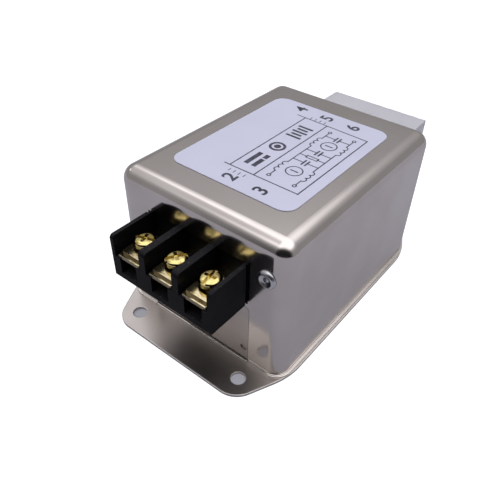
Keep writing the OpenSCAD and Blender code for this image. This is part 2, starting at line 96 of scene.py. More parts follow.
class SheetMetalSettings(bpy.types.PropertyGroup):
    nickel: colour("Nickel", "Colour of the nickel plating", (0.60, 0.555, 0.53))
    shade: colour("Nickel shade", "Warmer tone of the plating's clouds", (0.55, 0.505, 0.475))
    # lightens the sheet's sharp edges near the foot: partly rubbed wear, partly a painted
    # highlight
    rubbed_edge_and_highlight: colour("Bright edge", "Colour of the rubbed edges", (0.86, 0.83, 0.79))
    can_roughness: share("Can roughness", "Roughness of the drawn can's plating", 0.16)
    plate_roughness: share("Plate roughness", "Roughness of the flat plates' plating", 0.33)
    edge_round: length("Edge rounding", "Rounding on the sheet's cut edges", 0.35 * MM)
    hem_height: length("Hem height", "Height of the hem at the foot of a closing plate", 0.6 * MM)


class MouldingSettings(bpy.types.PropertyGroup):
    black: colour("Black", "Colour of the terminal blocks' plastic", (0.003, 0.003, 0.0042))
    # the lighter tone for dust specks and for a painted sheen on all upward faces
    dust_and_sheen_tone: colour("Scuff", "Lighter tone of scuffed and dusty plastic", (0.045, 0.045, 0.05))
    roughness: share("Roughness", "Roughness of the blocks' plastic", 0.42)
    edge_round: length("Edge rounding", "Rounding on the moulding's edges", 0.18 * MM)


class BrassSettings(bpy.types.PropertyGroup):
    brass: colour("Brass", "Colour of the screws' clean brass", (0.63, 0.52, 0.215))
    sheet: colour("Sheet brass", "Colour of the plates' and washers' brass", (0.66, 0.565, 0.36))
    tarnish: colour("Tarnish", "Colour of the brass's duller patches", (0.33, 0.25, 0.08))
    roughness: share("Roughness", "Roughness of the brass", 0.12)
    # the plates' and washers' upright faces are darkened to these shares of the brass: painted
    # shade
    plate_edge_shade: share("Plate edge", "Tone of the plates' sheared edges", 0.36)
    washer_edge_shade: share("Washer edge", "Tone of the washers' sheared edges", 0.2)
    edge_round: length("Edge rounding", "Rounding on the plates' and washers' edges", 0.12 * MM)


class ScrewSettings(bpy.types.PropertyGroup):
    head_diameter: length("Head diameter", "Diameter of a screw's pan head", 5.5 * MM)
    head_height: length("Head height", "Height of a screw's pan head", 1.75 * MM)
    rim_height: length("Rim height", "Height of the head's upright rim", 0.7 * MM)
    shank_length: length("Shank length", "Length of a screw under its head", 5.3 * MM)
    thread_diameter: length("Thread diameter", "Outer diameter of the thread", 3.0 * MM)
    thread_pitch: length("Thread pitch", "Distance from one thread to the next", 0.5 * MM)
    thread_depth: length("Thread depth", "Depth of the thread", 0.3 * MM)
    slot_width: length("Slot width", "Width of the slot across the head", 0.95 * MM)
    slot_depth: length("Slot depth", "Depth of the slot across the head", 0.6 * MM)
    cross_length: length("Cross length", "Length of the shorter arm of the recess", 4.0 * MM)
    first_turn_front: turning("Front turn", "Turn of the first front screw", 20)
    first_turn_rear: turning("Rear turn", "Turn of the first rear screw", 250)
    turn_step: turning("Turn step", "Turn from one screw to the next", 38)


class RivetSettings(bpy.types.PropertyGroup):
    head_diameter: length("Head diameter", "Diameter of a rivet's head", 4.8 * MM)
    head_height: length("Head height", "Height of a rivet's head", 1.0 * MM)
    dish_diameter: length("Dish diameter", "Diameter of the dished middle", 2.9 * MM)
    dish_depth: length("Dish depth", "Depth of the dished middle", 0.5 * MM)
    stub_diameter: length("Stub diameter", "Diameter of the broken mandrel", 1.3 * MM)
    shank_diameter: length("Shank diameter", "Diameter of a rivet's shank", 3.2 * MM)
    grip: length("Grip", "Thickness that a rivet holds together", 3.0 * MM)


class LabelSettings(bpy.types.PropertyGroup):
    film: colour("Film", "Colour of the label's film", (0.55, 0.555, 0.69))
    ink: colour("Ink", "Colour of the label's print", (0.02, 0.02, 0.035))
    rule_width: length("Rule width", "Width of the ruled frame's lines", 0.34 * MM)
    line_width: length("Line width", "Width of the diagram's lines", 0.32 * MM)
    digit_size: length("Digit size", "Height of the terminal numbers", 3.8 * MM)


class StageSettings(bpy.types.PropertyGroup):
    floor: colour("Floor", "Colour of the floor", (0.25, 0.25, 0.28))
    floor_glow: colour("Floor glow", "Own light where it is mirrored", (0.185, 0.185, 0.21))
    floor_size: length("Floor size", "Width of the floor", 8.0)
    lens: number("Lens", "Camera lens in millimetres", 38.975)
    horizon: number("Horizon", "Strength of the light low down", 0.37)
    panel: number("Panel", "Strength added by the wide panel overhead", 1.15)
    room: share("Room", "Part of the light lost towards the room in front", 0.96)
    side: number("Side", "Power of the small side light", 0.08)


# ------------------------------------------------------------ mesh helpers


def in_scene(name, data):
    """Makes an object of some data and links it to the scene."""
    thing = bpy.data.objects.new(name, data)
    bpy.context.scene.collection.objects.link(thing)
    return thing


def as_mesh(bm, name):
    """Turns a bmesh into a mesh and frees it."""
    mesh = bpy.data.meshes.new(name)
    bm.to_mesh(mesh)
    bm.free()
    return mesh


def finished(bm, name, material, smooth_angle=35.0):
    """Turns a bmesh into a finished piece of the object, with sharp edges kept sharp."""
    limit = math.radians(smooth_angle)
    for edge in bm.edges:
        edge.smooth = len(edge.link_faces) == 2 and edge.calc_face_angle(0.0) < limit
    for face in bm.faces:
        face.smooth = True
    piece = in_scene(name, as_mesh(bm, name))
    piece.data.materials.append(material)
    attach(piece, "root")
    return piece


def spun(profile, steps, rise=0.0):
    """Turns an (r, z) profile once round the Z axis, and may raise it as it turns."""
    bm = bmesh.new()
    verts = [bm.verts.new((r, 0.0, z)) for r, z in profile]
    edges = [bm.edges.new(pair) for pair in zip(verts, verts[1:])]
    bmesh.ops.spin(
        bm,
        geom=verts + edges,
        cent=(0, 0, 0),
        axis=(0, 0, 1),
        dvec=(0, 0, rise / steps),
        angle=math.tau,
        steps=steps,
        use_merge=not rise,
    )
    bmesh.ops.remove_doubles(bm, verts=bm.verts, dist=SAME_POINT)
    bmesh.ops.recalc_face_normals(bm, faces=bm.faces)
    return bm


def block(bm, centre, size, turn=0.0):
    """Adds a box, turned about Z."""
    turned = Matrix.Rotation(turn, 4, "Z") @ Matrix.Diagonal((*size, 1.0))
    place = Matrix.Translation(centre) @ turned
    return bmesh.ops.create_cube(bm, size=1.0, matrix=place)["verts"]


def joined(target, source, place):
    """Adds a placed copy of one bmesh to another."""
    mesh = bpy.data.meshes.new("copy")
    source.to_mesh(mesh)
    mesh.transform(place)
    target.from_mesh(mesh)
    bpy.data.meshes.remove(mesh)


def cut_away(bm, cutter):
    """Cuts one closed bmesh out of another and returns the result."""
    body = in_scene("body", as_mesh(bm, "body"))
    tool = in_scene("cutter", as_mesh(cutter, "cutter"))
    modifier = body.modifiers.new("cut", "BOOLEAN")
    modifier.operation = "DIFFERENCE"
    modifier.solver = "EXACT"
    modifier.object = tool
    graph = bpy.context.evaluated_depsgraph_get()
    cut = bpy.data.meshes.new_from_object(body.evaluated_get(graph))
    result = bmesh.new()
    result.from_mesh(cut)
    meshes = (cut, body.data, tool.data)
    for thing in (body, tool):
        bpy.data.objects.remove(thing)
    for mesh in meshes:
        bpy.data.meshes.remove(mesh)
    return result


def ease_edges(node, width):
    """Rounds the sharp edges of a flat-faced node from the frame with live modifiers."""
    thing = frame["nodes"][node]
    weld = thing.modifiers.new("weld", "WELD")
    weld.merge_threshold = 1e-6
    bevel = thing.modifiers.new("edges", "BEVEL")
    bevel.width = width
    bevel.segments = 2
    bevel.limit_method = "ANGLE"
    bevel.angle_limit = SHARP_ANGLE
    bevel.use_clamp_overlap = True
    even = thing.modifiers.new("shading", "WEIGHTED_NORMAL")
    even.mode = "FACE_AREA"
    even.weight = 50
    even.keep_sharp = True


def finish_node(node, material):
    """Gives a node from the frame its finish."""
    thing = frame["nodes"][node]
    if not thing.material_slots:
        raise RuntimeError(node + " holds no material slot")
    for slot in thing.material_slots:
        slot.link = "OBJECT"
        slot.material = material


# ------------------------------------------------------------ shared effects


def feed(tree, socket, value):
    """Links a value into a socket, or sets the socket to a plain value."""
    if isinstance(value, bpy.types.NodeSocket):
        tree.links.new(value, socket)
    else:
        socket.default_value = value


def math_node(tree, operation, *values):
    """The result of one arithmetic node on sockets or plain numbers."""
    node = tree.nodes.new("ShaderNodeMath")
    node.operation = operation
    for socket, value in zip(node.inputs, values):
        feed(tree, socket, value)
    return node.outputs[0]


def add(tree, first, second):
    return math_node(tree, "ADD", first, second)


def subtract(tree, first, second):
    return math_node(tree, "SUBTRACT", first, second)


def multiply(tree, first, second):
    return math_node(tree, "MULTIPLY", first, second)


def aligned(tree, first, second):
    """How far two directions agree: one where they are the same."""
    node = tree.nodes.new("ShaderNodeVectorMath")
    node.operation = "DOT_PRODUCT"
    for socket, value in zip(node.inputs, (first, second)):
        feed(tree, socket, value)
    return node.outputs["Value"]


def object_place(tree):
    return tree.nodes.new("ShaderNodeTexCoord").outputs["Object"]


def true_normal(tree):
    return tree.nodes.new("ShaderNodeNewGeometry").outputs["Normal"]


def split(tree, vector):
    """The X, Y and Z parts of a vector."""
    node = tree.nodes.new("ShaderNodeSeparateXYZ")
    tree.links.new(vector, node.inputs[0])
    return node.outputs


def noise(tree, vector, scale, detail=2.0, roughness=0.5):
    """Soft noise round one half."""
    node = tree.nodes.new("ShaderNodeTexNoise")
    node.inputs["Detail"].default_value = detail
    node.inputs["Roughness"].default_value = roughness
    tree.links.new(vector, node.inputs["Vector"])
    feed(tree, node.inputs["Scale"], scale)
    return node.outputs["Fac"]


def ranged(tree, value, low, high, to_low=0.0, to_high=1.0, smooth=False):
    """Maps a value from one range to another and holds it there."""
    node = tree.nodes.new("ShaderNodeMapRange")
    node.clamp = True
    node.interpolation_type = "SMOOTHSTEP" if smooth else "LINEAR"
    labels = ("Value", "From Min", "From Max", "To Min", "To Max")
    for label, given in zip(labels, (value, low, high, to_low, to_high)):
        feed(tree, node.inputs[label], given)
    return node.outputs["Result"]


def plated_sheet(group, given):
    """Rolled sheet under thin plating: fine grain, long faint scratches, wide clouds."""
    here = object_place(group)
    grain = noise(group, here, given["Grain Scale"], detail=3.0, roughness=0.6)
    cloud = noise(group, here, given["Cloud Scale"], detail=2.0, roughness=0.55)
    scratches = 0.0
    for turn, scale in ((0.4, 300.0), (1.3, 420.0)):
        mapping = group.nodes.new("ShaderNodeMapping")
        mapping.inputs["Rotation"].default_value = (turn, turn * 0.7, turn)
        mapping.inputs["Scale"].default_value = (1.0, 14.0, 14.0)
        group.links.new(here, mapping.inputs["Vector"])
        lines = noise(group, mapping.outputs["Vector"], scale, detail=1.0, roughness=0.4)
        near = math_node(group, "ABSOLUTE", subtract(group, lines, 0.5))
        scratch = ranged(group, near, 0.0, 0.012, 1.0, 0.0)
        scratches = math_node(group, "MAXIMUM", scratches, scratch)
    patch = ranged(group, noise(group, here, 160.0, detail=1.0), 0.5, 0.62)
    faint = multiply(group, multiply(group, scratches, patch), given["Scratch Amount"])
    dull = ranged(group, cloud, 0.3, 0.7, 0.0, 0.6)
    return {
        "Height": subtract(group, multiply(group, grain, 0.6), multiply(group, faint, 0.5)),
        "Dullness": add(group, dull, multiply(group, faint, 0.4)),
        "Cloud": ranged(group, cloud, 0.35, 0.65),
    }


def moulded_plastic(group, given):
    """Spark-eroded mould texture with wide flow clouds, settled dust and a painted sheen on upward
    faces.
    """
    here = object_place(group)
    cloud = noise(group, here, given["Cloud Scale"], detail=2.0, roughness=0.5)
    dust = noise(group, here, given["Dust Scale"], detail=1.0, roughness=0.4)
    specks = ranged(group, dust, 0.66, 0.74)
    facing_up = ranged(group, split(group, true_normal(group))["Z"], 0.2, 0.9)
    # all upward faces are lightened a quarter of the way: a painted sheen
    painted_top_sheen = multiply(group, facing_up, 0.25)
    return {
        "Height": noise(group, here, given["Grain Scale"], detail=4.0, roughness=0.65),
        "Dullness": ranged(group, cloud, 0.3, 0.7),
        # Dust holds the dust specks together with the painted sheen on upward faces
        "Dust": add(group, painted_top_sheen, multiply(group, specks, facing_up)),
    }


def worked_metal(group, given):
    """Turned or stamped soft metal: tool marks, tarnish patches, dents, upright faces."""
    here = object_place(group)
    grain = noise(group, here, given["Grain Scale"], detail=3.0, roughness=0.6)
    patch = noise(group, here, given["Patch Scale"], detail=3.0, roughness=0.6)
    dents = noise(group, here, given["Dent Scale"], detail=1.0, roughness=0.3)
    level = math_node(group, "ABSOLUTE", split(group, true_normal(group))["Z"])
    return {
        "Height": add(group, multiply(group, grain, 0.4), multiply(group, dents, 0.8)),
        "Dullness": ranged(group, patch, 0.35, 0.7),
        "Tarnish": ranged(group, patch, 0.48, 0.68),
        "Upright": ranged(group, level, 0.2, 0.6, 1.0, 0.0),
    }


def fine_weave(group, given):
    """Crossed fine weave, seen through a board's or a film's surface."""
    here = object_place(group)
    parts = split(group, here)
    wobble = multiply(group, noise(group, here, 300.0), given["Waviness"])
    waves = []
    for axis in ("X", "Y"):
        turns = add(group, math_node(group, "DIVIDE", parts[axis], given["Pitch"]), wobble)
        waves.append(math_node(group, "SINE", multiply(group, turns, math.tau)))
    weave = multiply(group, *waves)
    return {
        "Height": ranged(group, weave, -1.0, 1.0),
        "Thread": ranged(group, weave, -0.2, 0.6),
    }


EFFECTS = {
    "plated_sheet": (
        plated_sheet,
        {"Grain Scale": 2600.0, "Scratch Amount": 0.5, "Cloud Scale": 70.0},
    ),
    "moulded_plastic": (
        moulded_plastic,
        {"Grain Scale": 3200.0, "Cloud Scale": 90.0, "Dust Scale": 1500.0},
    ),
    "worked_metal": (
        worked_metal,
        {"Grain Scale": 5200.0, "Patch Scale": 520.0, "Dent Scale": 1500.0},
    ),
    "fine_weave": (fine_weave, {"Pitch": 0.0006, "Waviness": 0.2}),
}


def effect_group(name):
    """A shared effect's node group, made when it is first asked for."""
    if name in bpy.data.node_groups:
        return bpy.data.node_groups[name]
    build, defaults = EFFECTS[name]
    group = bpy.data.node_groups.new(name, "ShaderNodeTree")
    for label, default in defaults.items():
        socket = group.interface.new_socket(
            label, in_out="INPUT", socket_type="NodeSocketFloat"
        )
        socket.default_value = default
    results = build(group, group.nodes.new("NodeGroupInput").outputs)
    for label in results:
        group.interface.new_socket(label, in_out="OUTPUT", socket_type="NodeSocketFloat")
    out = group.nodes.new("NodeGroupOutput")
    for label, result in results.items():
        group.links.new(result, out.inputs[label])
    return group


# ------------------------------------------------------------ materials


def by_identifier(sockets, identifier):
    return next(s for s in sockets if s.identifier == identifier)


class Finish:
    """A material in the making: its Principled shader, and helpers that link into it."""

    def __init__(self, name, **constants):
        self.material = bpy.data.materials.new(name)
        self.material.use_nodes = True
        self.tree = self.material.node_tree
        self.shader = self.tree.nodes["Principled BSDF"]
        for label, value in constants.items():
            self.shader.inputs[label.replace("_", " ")].default_value = value

    def effect(self, name, **values):
        node = self.tree.nodes.new("ShaderNodeGroup")
        node.node_tree = effect_group(name)
        for label, value in values.items():
            node.inputs[label.replace("_", " ")].default_value = value
        return node.outputs

    def blend(self, mask, first, second, kind="Color"):
        """Mixes two colours, or two directions, by a mask."""
        node = self.tree.nodes.new("ShaderNodeMix")
        node.data_type = {"Color": "RGBA", "Vector": "VECTOR"}[kind]
        self.tree.links.new(mask, node.inputs["Factor"])
        for label, value in (("A_", first), ("B_", second)):
            if not isinstance(value, bpy.types.NodeSocket):
                value = (*value, 1.0)
            feed(self.tree, by_identifier(node.inputs, label + kind), value)
        return by_identifier(node.outputs, "Result_" + kind)

    def set(self, label, value):
        self.tree.links.new(value, self.shader.inputs[label])

    def roughen(self, mask, low, high):
        """Sets the roughness between two values by a mask."""
        self.set("Roughness", ranged(self.tree, mask, 0.0, 1.0, low, high))

    def eased_normal(self, radius):
        """The surface's direction, turned smoothly over each sharp edge."""
        node = self.tree.nodes.new("ShaderNodeBevel")
        node.samples = 8
        node.inputs["Radius"].default_value = radius
        return node.outputs["Normal"]

    def edge_mask(self, eased):
        """One along the sharp edges and nothing between them."""
        same = aligned(self.tree, eased, true_normal(self.tree))
        return ranged(self.tree, same, 0.86, 0.99, 1.0, 0.0)

    def bump(self, height, distance, strength, under=None):
        """Raises the surface by a height of at most a distance, over its own or a given normal."""
        node = self.tree.nodes.new("ShaderNodeBump")
        node.inputs["Distance"].default_value = distance
        node.inputs["Strength"].default_value = strength
        self.tree.links.new(height, node.inputs["Height"])
        if under is not None:
            self.tree.links.new(under, node.inputs["Normal"])
        self.set("Normal", node.outputs["Normal"])


def toned(colour_value, tone):
    return [c * tone for c in colour_value]


def nickel_finish(name, settings, roughness, scratch_amount=0.5, tone=1.0):
    """Satin nickel whose sharp edges are rounded, and near the foot rubbed and lightened: partly
    wear, partly a painted highlight.
    """
    finish = Finish(name, Metallic=1.0)
    tree = finish.tree
    sheet = finish.effect("plated_sheet", Scratch_Amount=scratch_amount)
    eased = finish.eased_normal(settings.edge_round)
    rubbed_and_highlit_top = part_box("base_plate")[1][2] + RUBBED_AND_HIGHLIT_HEIGHT
    low_down = math_node(tree, "LESS_THAN", split(tree, object_place(tree))["Z"], rubbed_and_highlit_top)
    # sharp edges near the foot take a lighter colour: partly rubbed wear, partly a painted
    # highlight along the foot
    rubbed_and_highlit = multiply(tree, finish.edge_mask(eased), low_down)
    clouds = toned(settings.nickel, tone), toned(settings.shade, tone)
    plating = finish.blend(sheet["Cloud"], *clouds)
    finish.set("Base Color", finish.blend(rubbed_and_highlit, plating, settings.rubbed_edge_and_highlight))
    satin = ranged(tree, sheet["Dullness"], 0.0, 1.0, roughness - 0.03, roughness + 0.06)
    finish.set("Roughness", add(tree, satin, multiply(tree, rubbed_and_highlit, 0.25)))
    rounded = finish.blend(low_down, true_normal(tree), eased, "Vector")
    finish.bump(sheet["Height"], 0.004 * MM, strength=0.6, under=rounded)
    return finish.material


def plastic_finish(name, base, dust_and_sheen_tone, roughness, grain=3200.0, depth=0.012 * MM, **constants):
    """Moulded plastic, dusty and lightened by a painted sheen where it faces up."""
    finish = Finish(name, **constants)
    grainy = finish.effect("moulded_plastic", Grain_Scale=grain)
    finish.set("Base Color", finish.blend(grainy["Dust"], base, dust_and_sheen_tone))
    finish.roughen(grainy["Dullness"], roughness - 0.05, roughness + 0.08)
    finish.bump(grainy["Height"], depth, strength=0.7)
    return finish.material


def soft_metal_finish(
    name, base, tarnish, roughness, depth=0.01 * MM, upright_shade_tone=1.0, **effect_values
):
    """Tarnished soft metal, whose upright faces can be darkened as painted shade."""
    finish = Finish(name, Metallic=1.0)
    worked = finish.effect("worked_metal", **effect_values)
    patched = finish.blend(worked["Tarnish"], base, tarnish)
    # upright faces are darkened towards a share of the base colour: painted shade
    shaded_sides = toned(base, upright_shade_tone)
    finish.set("Base Color", finish.blend(worked["Upright"], patched, shaded_sides))
    finish.roughen(worked["Dullness"], roughness - 0.04, roughness + 0.08)
    finish.bump(worked["Height"], depth, strength=0.6)
    return finish.material


def woven_finish(name, base, thread, pitch, **constants):
    """A film or a laminate with a fine weave that shows through."""
    finish = Finish(name, **constants)
    weave = finish.effect("fine_weave", Pitch=pitch)
    finish.set("Base Color", finish.blend(weave["Thread"], base, thread))
    finish.bump(weave["Height"], 0.01 * MM, strength=0.5)
    return finish.material


# ------------------------------------------------------------ operators


class DressSheetMetal(bpy.types.Operator):
    """Gives the case, the base plate and the closing plates their satin nickel plating"""

    bl_idname = "line_filter.dress_sheet_metal"
    bl_label = "Sheet metal"

    def execute(self, context):
        settings = context.scene.filter_sheet_metal
        can = nickel_finish("satin_nickel_can", settings, settings.can_roughness)
        plate = nickel_finish(
            "satin_nickel_plate", settings, settings.plate_roughness, scratch_amount=0.7, tone=0.82
        )
        finish_node("case", can)
        for node in ("base_plate", "front_closing_plate", "rear_closing_plate"):
            finish_node(node, plate)
        return {"FINISHED"}


class MakeHems(bpy.types.Operator):
    """Makes the hem that carries the case's foot across each closing plate"""

    bl_idname = "line_filter.make_hems"
    bl_label = "Closing plates' hems"

    def execute(self, context):
        settings = context.scene.filter_sheet_metal
        height = settings.hem_height
        material = nickel_finish("satin_nickel_hem", settings, settings.can_roughness)
        bm = bmesh.new()
        outer_edges = []
        for node, side in (("front_closing_plate", 0), ("rear_closing_plate", 1)):
            low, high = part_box(node)
            outer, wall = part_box("case")[side][1], (low, high)[side][1]
            middle = (0.0, (outer + wall) / 2, low[2] + height / 2)
            corners = block(bm, middle, (high[0] - low[0], abs(outer - wall), height))
            top = [v for v in corners if v.co.z > middle[2] and abs(v.co.y) > abs(middle[1])]
            outer_edges.append(bm.edges.get(top))
        bmesh.ops.bevel(
            bm,
            geom=outer_edges,
            offset=height * 0.4,
            offset_type="OFFSET",
            segments=4,
            profile=0.5,
            affect="EDGES",
            material=-1,
        )
        finished(bm, "closing_plate_hems", material)
        return {"FINISHED"}


class DressTerminalBlocks(bpy.types.Operator):
    """Gives the two terminal blocks their black moulding, with eased edges"""

    bl_idname = "line_filter.dress_terminal_blocks"
    bl_label = "Terminal blocks"

    def execute(self, context):
        settings = context.scene.filter_moulding
        material = plastic_finish(
            "black_moulding",
            settings.black,
            settings.dust_and_sheen_tone,
            settings.roughness,
            Specular_IOR_Level=0.06,
        )
        for node in ("front_terminal_block", "rear_terminal_block"):
            finish_node(node, material)
            ease_edges(node, settings.edge_round)
        return {"FINISHED"}


class DressTerminals(bpy.types.Operator):
    """Gives the terminal plates and clamp washers their brass"""

    bl_idname = "line_filter.dress_terminals"
    bl_label = "Terminal plates and washers"

    def execute(self, context):
        settings = context.scene.filter_brass
        plate, washer = (
            soft_metal_finish(name, settings.sheet, settings.tarnish, roughness, upright_shade_tone=tone)
            for name, roughness, tone in (
                ("brass_plate", settings.roughness + 0.02, settings.plate_edge_shade),
                ("brass_washer", settings.roughness, settings.washer_edge_shade),
            )
        )
        for end in ("line", "load"):
            for pole in (1, 2, 3):
                node = f"{end}_terminal_plate_{pole}"
                finish_node(node, plate)
                ease_edges(node, settings.edge_round)
        for node in ("front_clamp_washers", "rear_clamp_washers"):
            finish_node(node, washer)
            ease_edges(node, settings.edge_round)
        return {"FINISHED"}


def screw_head(settings):
    """The crowned pan head with a slot and a shorter, tapered cross arm."""
    radius, height = settings.head_diameter / 2, settings.head_height
    rim, crown = settings.rim_height, settings.head_height - settings.rim_height
    chamfer = 0.12 * MM
    fullness = 0.33  # of the crown: one is a ball's, nothing is a cylinder's
    steps = 10
    profile = [(0.0, 0.0), (radius - chamfer, 0.0), (radius, chamfer), (radius, rim - chamfer)]
    for i in range(steps + 1):
        angle = math.pi / 2 * i / steps
        shoulder = 0.0 if i else chamfer * 0.3
        reach = radius * math.cos(angle) ** fullness - shoulder
        profile.append((reach, rim + crown * math.sin(angle)))
    profile[-1] = (0.0, height)
    slot, cross = bmesh.new(), bmesh.new()
    clear_across = settings.head_diameter + 1.0 * MM
    cut_height = 2 * settings.slot_depth
    block(slot, (0, 0, height), (clear_across, settings.slot_width, cut_height))
    arm = block(
        cross, (0, 0, height), (settings.slot_width, settings.cross_length, cut_height * 1.25)
    )
    foot_width, foot_length = 0.75, 0.55
    for vert in arm:
        if vert.co.z < height:
            vert.co.x *= foot_width
            vert.co.y *= foot_length
    return cut_away(cut_away(spun(profile, steps=56), slot), cross)


def threaded_shank(settings):
    """A true helical thread that reaches up into the head."""
    crest = settings.thread_diameter / 2
    root = crest - settings.thread_depth
    pitch = settings.thread_pitch
    turns = math.ceil(settings.shank_length / pitch) + 2
    low = -settings.shank_length - pitch
    tooth = ((root, 0.0), (root, 0.12), (crest, 0.45), (crest, 0.6))
    profile = [(r, low + i * pitch + part * pitch) for i in range(turns) for r, part in tooth]
    profile.append((root, low + turns * pitch))
    bm = spun(profile, steps=28, rise=pitch)
    inside_head = 0.3 * MM
    for z, side in ((-settings.shank_length, -1), (inside_head, 1)):
        cut = bmesh.ops.bisect_plane(
            bm,
            geom=bm.verts[:] + bm.edges[:] + bm.faces[:],
            dist=1e-8,
            plane_co=(0, 0, z),
            plane_no=(0, 0, side),
            clear_outer=True,
        )
        rim = [e for e in cut["geom_cut"] if isinstance(e, bmesh.types.BMEdge)]
        bmesh.ops.contextual_create(bm, geom=rim)
    bmesh.ops.recalc_face_normals(bm, faces=bm.faces)
    return bm


class MakeTerminalScrews(bpy.types.Operator):
    """Makes the six brass terminal screws, with threads and recessed heads"""

    bl_idname = "line_filter.make_terminal_screws"
    bl_label = "Terminal screws"

    def execute(self, context):
        settings = context.scene.filter_screws
        brass = context.scene.filter_brass
        material = soft_metal_finish(
            "brass_screw",
            brass.brass,
            brass.tarnish,
            brass.roughness - 0.02,
            depth=0.014 * MM,
            Grain_Scale=4200.0,
        )
        head = screw_head(settings)
        shank = threaded_shank(settings)
        for node, first_turn in (
            ("front_terminal_screws", settings.first_turn_front),
            ("rear_terminal_screws", settings.first_turn_rear),
        ):
            low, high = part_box(node)
            seat = low[2] + settings.shank_length
            middle = (low[1] + high[1]) / 2
            reach = (high[0] - low[0] - settings.head_diameter) / 2
            side = 1 if middle < 0 else -1
            bm = bmesh.new()
            for i in (-1, 0, 1):
                turn = Matrix.Rotation(first_turn + settings.turn_step * (i + 1), 4, "Z")
                place = Matrix.Translation((side * i * reach, middle, seat)) @ turn
                joined(bm, head, place)
                joined(bm, shank, place)
            piece = finished(bm, "dressed_" + node, material)
            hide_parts(node)
        head.free()
        shank.free()
        return {"FINISHED"}


class MakeRivets(bpy.types.Operator):
    """Makes the four blind rivets, with dished heads and broken mandrels"""

    bl_idname = "line_filter.make_rivets"
    bl_label = "Blind rivets"

    def execute(self, context):
        settings = context.scene.filter_rivets
        bright, dull = (0.52, 0.52, 0.54), (0.3, 0.3, 0.32)
        material = soft_metal_finish(
            "rivet_aluminium", bright, dull, 0.28, depth=0.014 * MM, Grain_Scale=3600.0
        )
        low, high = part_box("blind_rivets")
        wall = high[1] - settings.head_height
        height, radius = settings.head_height, settings.head_diameter / 2
        dish, depth = settings.dish_diameter / 2, settings.dish_depth
        stub, shank = settings.stub_diameter / 2, settings.shank_diameter / 2
        tail = 0.9 * MM
        back = settings.grip + tail
        neck = shank - 0.02 * MM
        profile = [
            (0.0, -back),
            (shank * 1.12, -back),
            (shank * 1.12, -back + 0.5 * MM),
            (neck, -back + tail),
            (neck, 0.0),
            (radius, 0.0),
            (radius, 0.16 * height),
            (radius * 0.985, 0.3 * height),
            (radius * 0.92, 0.55 * height),
            (radius * 0.8, 0.82 * height),
            (radius * 0.72, 0.93 * height),
            (dish + 0.1 * MM, 0.94 * height),
            (dish, 0.86 * height),
            (dish * 0.72, height - depth * 0.9),
            (stub + 0.12 * MM, height - depth),
            (stub + 0.08 * MM, height - depth - 0.35 * MM),
            (stub, height - depth - 0.35 * MM),
            (stub, height - depth - 0.1 * MM),
            (stub * 0.7, height - depth + 0.02 * MM),
            (0.0, height - depth - 0.06 * MM),
        ]
        rivet = spun(profile, steps=48)
        reach = (high[0] - low[0]) / 2 - radius
        bm = bmesh.new()
        for end in (-1, 1):
            for side, z in ((-end, high[2] - radius), (end, low[2] + radius)):
                face = Matrix.Rotation(math.radians(90) * -end, 4, "X")
                place = Matrix.Translation((side * reach, end * wall, z)) @ face
                joined(bm, rivet, place @ Matrix.Rotation(side * 0.7 + end, 4, "Z"))
        rivet.free()
        piece = finished(
            bm, "dressed_blind_rivets", material, smooth_angle=50.0
        )
        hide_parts("blind_rivets")
        return {"FINISHED"}


class DressCover(bpy.types.Operator):
    """Gives the rear terminal cover its frosted clear plastic"""

    bl_idname = "line_filter.dress_cover"
    bl_label = "Rear cover"

    def execute(self, context):
        finish = Finish(
            "frosted_cover",
            Base_Color=(0.88, 0.87, 0.92, 1.0),
            Transmission_Weight=0.6,
            IOR=1.49,
        )
        grainy = finish.effect("moulded_plastic", Grain_Scale=2600.0)
        finish.roughen(grainy["Dullness"], 0.38, 0.5)
        finish.bump(grainy["Height"], 0.015 * MM, strength=0.5)
        finish_node("rear_terminal_cover", finish.material)
        ease_edges("rear_terminal_cover", 0.2 * MM)
        return {"FINISHED"}


# ------------------------------------------------------------ label


